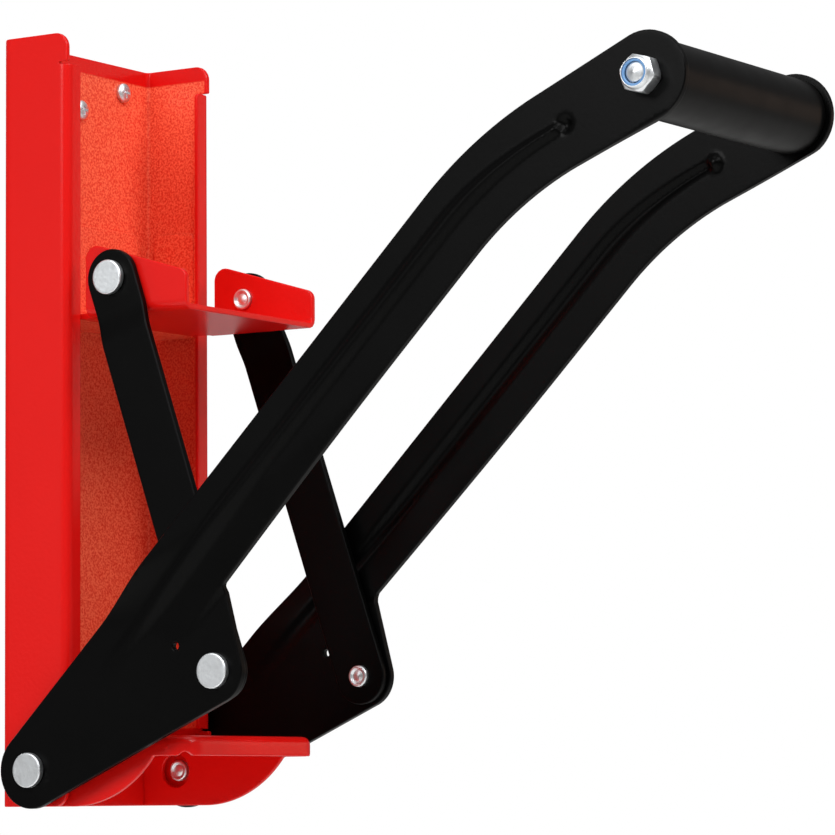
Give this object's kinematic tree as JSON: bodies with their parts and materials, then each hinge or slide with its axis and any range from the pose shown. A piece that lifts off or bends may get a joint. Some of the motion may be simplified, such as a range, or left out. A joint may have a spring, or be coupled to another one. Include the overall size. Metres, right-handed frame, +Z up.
{
  "type": "can crusher",
  "caption": "Wall-mounted lever can crusher: a red channel frame with a seat, a press plate that slides down in it, two black stamped arms joined by a grip, and two link bars.",
  "frame": {"origin": "centre of the four corner wall screws, on the back face that lies on the wall", "axes": "+Z up, +Y into the wall, -Y towards the user, +X to the right as seen from the front"},
  "size_m": [0.1285, 0.3279, 0.3058],
  "materials": {
    "red_paint": "gloss powder coat",
    "black_coat": "satin powder coat",
    "zinc_plate": "bright zinc plate",
    "grip_plastic": "matte moulded",
    "tube_steel": "plain drawn tube",
    "bush_plastic": "moulded nylon"
  },
  "bodies": {
    "frame": {"back_frame": "red_paint", "can_seat": "red_paint", "wall_screws": "zinc_plate", "frame_rivet_left": "zinc_plate", "frame_rivet_right": "zinc_plate", "pivot_washer_left": "zinc_plate", "pivot_washer_right": "zinc_plate"},
    "handle": {"arm_left": "black_coat", "arm_right": "black_coat", "arm_pin_left": "zinc_plate", "arm_pin_right": "zinc_plate", "handle_grip": "grip_plastic", "handle_tube": "tube_steel", "end_bush_left": "bush_plastic", "end_bush_right": "bush_plastic", "handle_bolt": "zinc_plate", "handle_nut": "zinc_plate"},
    "press": {"press_plate": "red_paint", "press_rivet_left": "zinc_plate", "press_rivet_right": "zinc_plate"},
    "left_link": {"link_left": "black_coat", "link_pin_left": "zinc_plate"},
    "right_link": {"link_right": "black_coat", "link_pin_right": "zinc_plate"}
  },
  "joints": [
    {"name": "handle_swing", "type": "hinge", "parent": "frame", "child": "handle", "pos_m": [0, -0.0182, -0.1588], "axis": [1, 0, 0], "range_deg": [-5, 95]},
    {"name": "press_slide", "type": "slide", "parent": "frame", "child": "press", "axis": [0, 0, -1], "range_m": [-0.0063, 0.1194]},
    {"name": "left_link_turn", "type": "hinge", "parent": "press", "child": "left_link", "pos_m": [0, -0.0536, 0.0325], "axis": [1, 0, 0], "range_deg": [-1.2, 21.4]},
    {"name": "right_link_turn", "type": "hinge", "parent": "press", "child": "right_link", "pos_m": [0, -0.0536, 0.0325], "axis": [1, 0, 0], "range_deg": [-1.2, 21.4]}
  ],
  "couplings": [
    {"joint": "press_slide", "follows": "handle_swing", "m_per_rad": 0.07195},
    {"joint": "left_link_turn", "follows": "handle_swing", "ratio": 0.2238},
    {"joint": "right_link_turn", "follows": "handle_swing", "ratio": 0.2238}
  ]
}
